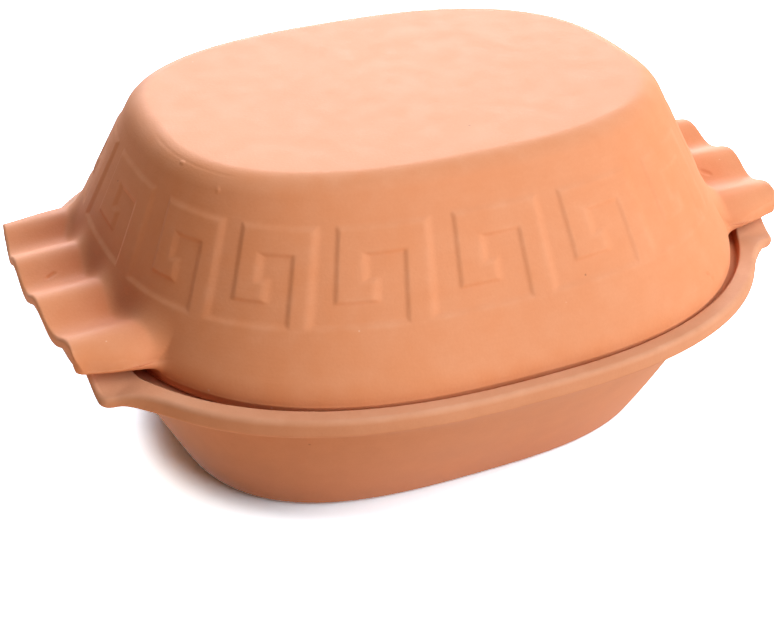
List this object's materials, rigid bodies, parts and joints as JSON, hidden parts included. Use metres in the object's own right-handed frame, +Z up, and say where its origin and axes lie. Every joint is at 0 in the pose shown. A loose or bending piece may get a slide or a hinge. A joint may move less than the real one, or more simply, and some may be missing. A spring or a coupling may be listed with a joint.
{
  "type": "clay roaster",
  "caption": "Oval roasting dish of unglazed terracotta with a high lid that lifts off; both have wavy grips at the ends, and the lid carries a raised key band.",
  "frame": {"origin": "middle of the dish's underside, on the surface that the roaster stands on", "axes": "+Z up, +X from the middle to one grip, +Y across the roaster"},
  "size_m": [0.3446, 0.28, 0.155],
  "materials": {
    "dish_clay": "matte unglazed terracotta",
    "lid_clay": "matte unglazed terracotta"
  },
  "bodies": {
    "dish": {"base_dish": "dish_clay"},
    "cover": {"lid": "lid_clay"}
  },
  "joints": [
    {"name": "lid_lift", "type": "slide", "parent": "dish", "child": "cover", "axis": [0, 0, 1], "range_m": [0, 0.18]}
  ]
}
